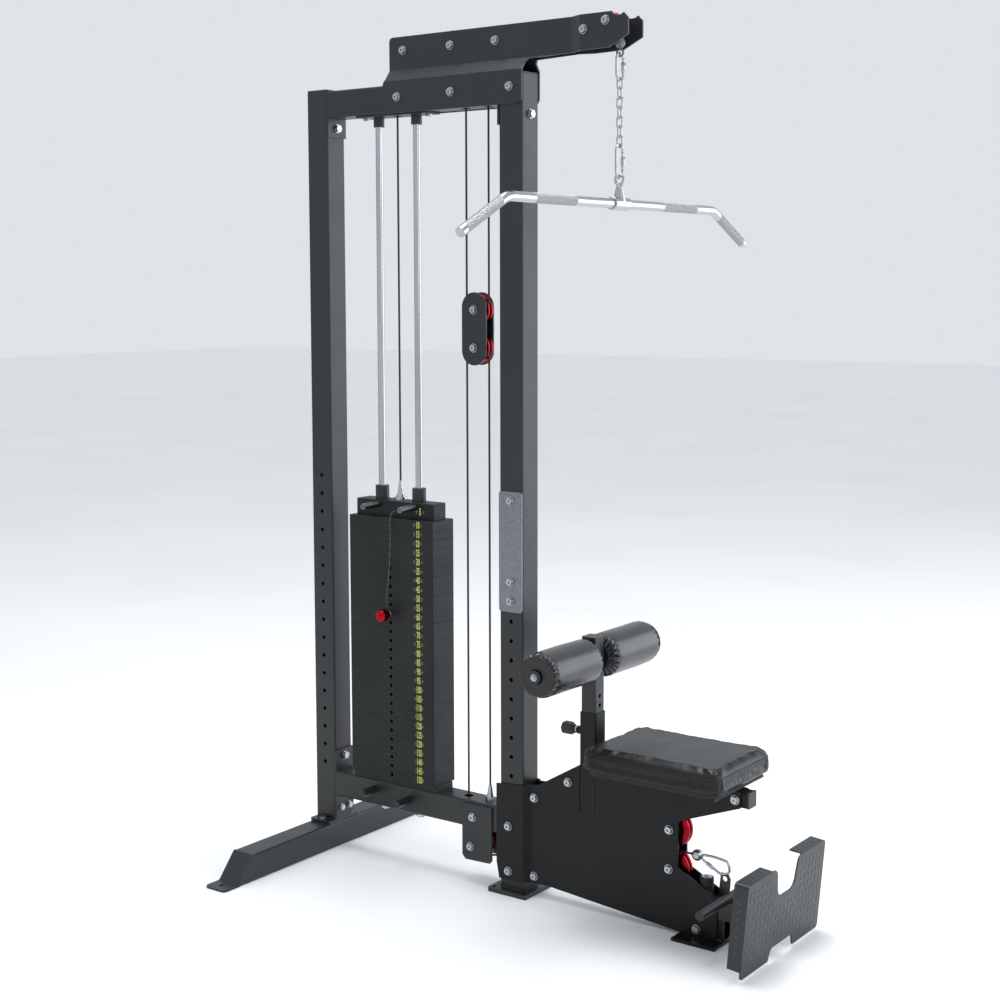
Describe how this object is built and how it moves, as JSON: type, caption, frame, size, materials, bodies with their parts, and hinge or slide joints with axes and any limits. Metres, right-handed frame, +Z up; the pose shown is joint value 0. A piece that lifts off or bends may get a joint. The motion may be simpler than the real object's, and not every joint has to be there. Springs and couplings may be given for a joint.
{
  "type": "lat pulldown machine",
  "caption": "Weight-stack lat pulldown and low row machine on an upright tube frame, with a padded seat, knee rollers, overhead cable arm, chain-hung wide bar and foot plate.",
  "frame": {"origin": "on the floor, in the middle of the machine's footprint", "axes": "+Z up, +Y from the seat towards the weight stack, +X across the machine, to the right of someone facing the stack"},
  "size_m": [1.341, 1.5217, 2.3219],
  "materials": {
    "powder_coat": "dark slate powder coat, fine texture",
    "plate_paint": "dark satin paint on cast plates",
    "chrome": "polished chrome",
    "zinc": "bright zinc plate",
    "galvanised": "galvanised sheet",
    "steel_wire": "wire rope with a clear sheath",
    "black_sheath": "black sheath on wire rope",
    "vinyl": "black vinyl over foam",
    "rubber": "black rubber",
    "plastic": "black plastic",
    "red_anodised": "red anodised",
    "board": "dark painted plywood",
    "band": "black grip sleeve"
  },
  "bodies": {
    "frame": {"rear_stabilizer": "powder_coat", "rear_upright": "powder_coat", "front_upright": "powder_coat", "tube_end_caps": "plastic", "top_beam": "powder_coat", "lower_beam": "powder_coat", "top_side_plates": "powder_coat", "seat_side_plates": "powder_coat", "gusset_plates": "powder_coat", "guide_rods": "chrome", "rod_bracket": "powder_coat", "stack_base": "rubber", "weight_plates_resting": "plate_paint", "lower_band_pegs": "powder_coat", "accessory_plate": "galvanised", "seat_rail": "powder_coat", "seat_board": "board", "seat_cushion": "vinyl", "post_sleeve": "powder_coat", "foot_plate": "powder_coat", "foot_tube": "powder_coat", "foot_stub": "powder_coat", "row_bumper": "rubber", "frame_bolts": "zinc", "pulley_bearings": "zinc", "cable_anchor": "zinc", "cables_fixed": "black_sheath", "stack_cable": "black_sheath", "block_cable_runs_upper": "black_sheath", "block_cable_runs_lower": "black_sheath"},
    "lifted_stack": {"head_plate": "plate_paint", "guide_collars": "plastic", "selector_stem": "chrome", "weight_plates_lifted": "plate_paint", "upper_band_pegs": "zinc", "pin_lanyard": "plastic"},
    "selector_pin": {"selector_pin": "zinc"},
    "knee_pad": {"knee_post": "powder_coat"},
    "roller_left": {"foam_roller_left": "vinyl"},
    "roller_right": {"foam_roller_right": "vinyl"},
    "pop_pin": {"pop_pin": "plastic"},
    "floating_block": {"block_plates": "powder_coat", "block_axles": "zinc", "block_cable_wraps": "black_sheath"},
    "block_pulley_upper": {"block_pulley_upper": "red_anodised"},
    "block_pulley_lower": {"block_pulley_lower": "red_anodised"},
    "pulley_stack": {"pulley_stack": "red_anodised"},
    "pulley_block_rear": {"pulley_block_rear": "red_anodised"},
    "pulley_block_front": {"pulley_block_front": "red_anodised"},
    "pulley_carry": {"pulley_carry": "red_anodised"},
    "tip_roller": {"tip_roller": "red_anodised"},
    "lower_pulley": {"lower_pulley": "red_anodised"},
    "row_pulley_upper": {"row_pulley_upper": "red_anodised"},
    "row_pulley_lower": {"row_pulley_lower": "red_anodised"},
    "lat_end": {"lat_stop_ball": "plastic", "lat_chain": "zinc", "lat_cable_drop": "black_sheath"},
    "lat_bar": {"lat_bar": "chrome"},
    "row_end": {"row_end": "zinc", "row_cable_out": "black_sheath"}
  },
  "joints": [
    {"name": "stack_lift", "type": "slide", "parent": "frame", "child": "lifted_stack", "axis": [0, 0, 1], "range_m": [0, 0.85], "deforming": ["stack_cable"]},
    {"name": "lat_pull", "type": "slide", "parent": "frame", "child": "lat_end", "axis": [0, 0, -1], "range_m": [0, 0.85], "deforming": ["lat_cable_drop"]},
    {"name": "lat_bar_swivel", "type": "hinge", "parent": "lat_end", "child": "lat_bar", "pos_m": [0, -0.26635, 1.87], "axis": [0, 0, 1], "range_deg": [-70, 70]},
    {"name": "selector_pin_pull", "type": "slide", "parent": "lifted_stack", "child": "selector_pin", "axis": [-1, 0, 0], "range_m": [0, 0.09]},
    {"name": "knee_pad_height", "type": "slide", "parent": "frame", "child": "knee_pad", "axis": [0, 0, 1], "range_m": [-0.1, 0.05]},
    {"name": "roller_left_spin", "type": "hinge", "parent": "knee_pad", "child": "roller_left", "pos_m": [-0.143, -0.19235, 0.675], "axis": [1, 0, 0], "continuous": true},
    {"name": "roller_right_spin", "type": "hinge", "parent": "knee_pad", "child": "roller_right", "pos_m": [0.143, -0.19235, 0.675], "axis": [1, 0, 0], "continuous": true},
    {"name": "pop_pin_pull", "type": "slide", "parent": "frame", "child": "pop_pin", "axis": [0, 1, 0], "range_m": [0, 0.014], "stiffness_N_per_m": 700, "springref_m": -0.012},
    {"name": "block_drop", "type": "slide", "parent": "frame", "child": "floating_block", "axis": [0, 0, -1], "range_m": [0, 0.3], "stiffness_N_per_m": 120, "springref_m": -0.9, "deforming": ["block_cable_runs_upper", "block_cable_runs_lower"]},
    {"name": "row_pull", "type": "slide", "parent": "frame", "child": "row_end", "axis": [0, -1, 0], "range_m": [0, 0.6]},
    {"name": "pulley_stack_spin", "type": "hinge", "parent": "frame", "child": "pulley_stack", "pos_m": [0, 0.41365, 2.282], "axis": [1, 0, 0], "range_deg": [-1330, 1330]},
    {"name": "pulley_block_rear_spin", "type": "hinge", "parent": "frame", "child": "pulley_block_rear", "pos_m": [0, 0.25165, 2.282], "axis": [1, 0, 0], "range_deg": [-1330, 1330]},
    {"name": "pulley_block_front_spin", "type": "hinge", "parent": "frame", "child": "pulley_block_front", "pos_m": [0, 0.10365, 2.282], "axis": [1, 0, 0], "range_deg": [-1330, 1330]},
    {"name": "pulley_carry_spin", "type": "hinge", "parent": "frame", "child": "pulley_carry", "pos_m": [0, -0.18135, 2.282], "axis": [1, 0, 0], "range_deg": [-1330, 1330]},
    {"name": "tip_roller_spin", "type": "hinge", "parent": "frame", "child": "tip_roller", "pos_m": [0, -0.24635, 2.299], "axis": [1, 0, 0], "range_deg": [-2450, 2450]},
    {"name": "block_pulley_upper_spin", "type": "hinge", "parent": "floating_block", "child": "block_pulley_upper", "pos_m": [0, 0.17765, 1.58], "axis": [1, 0, 0], "range_deg": [-1330, 1330]},
    {"name": "block_pulley_lower_spin", "type": "hinge", "parent": "floating_block", "child": "block_pulley_lower", "pos_m": [0, 0.17765, 1.478], "axis": [1, 0, 0], "range_deg": [-480, 480]},
    {"name": "lower_pulley_spin", "type": "hinge", "parent": "frame", "child": "lower_pulley", "pos_m": [0, 0.17765, 0.105], "axis": [1, 0, 0], "range_deg": [-940, 940]},
    {"name": "row_pulley_lower_spin", "type": "hinge", "parent": "frame", "child": "row_pulley_lower", "pos_m": [0, -0.43935, 0.165], "axis": [1, 0, 0], "range_deg": [-800, 800]},
    {"name": "row_pulley_upper_spin", "type": "hinge", "parent": "frame", "child": "row_pulley_upper", "pos_m": [0, -0.43935, 0.268], "axis": [1, 0, 0], "continuous": true}
  ],
  "couplings": [
    {"joint": "lat_pull", "follows": "stack_lift", "ratio": 1},
    {"joint": "pulley_stack_spin", "follows": "stack_lift", "rad_per_m": 27.027},
    {"joint": "pulley_block_rear_spin", "follows": "stack_lift", "rad_per_m": 27.027},
    {"joint": "pulley_block_front_spin", "follows": "stack_lift", "rad_per_m": 27.027},
    {"joint": "pulley_carry_spin", "follows": "stack_lift", "rad_per_m": 27.027},
    {"joint": "tip_roller_spin", "follows": "stack_lift", "rad_per_m": 50},
    {"joint": "block_pulley_upper_spin", "follows": "stack_lift", "rad_per_m": -27.027},
    {"joint": "block_pulley_lower_spin", "follows": "block_drop", "rad_per_m": -27.027},
    {"joint": "row_pull", "follows": "block_drop", "ratio": 2},
    {"joint": "lower_pulley_spin", "follows": "block_drop", "rad_per_m": -54.054},
    {"joint": "row_pulley_lower_spin", "follows": "block_drop", "rad_per_m": 45.455}
  ]
}
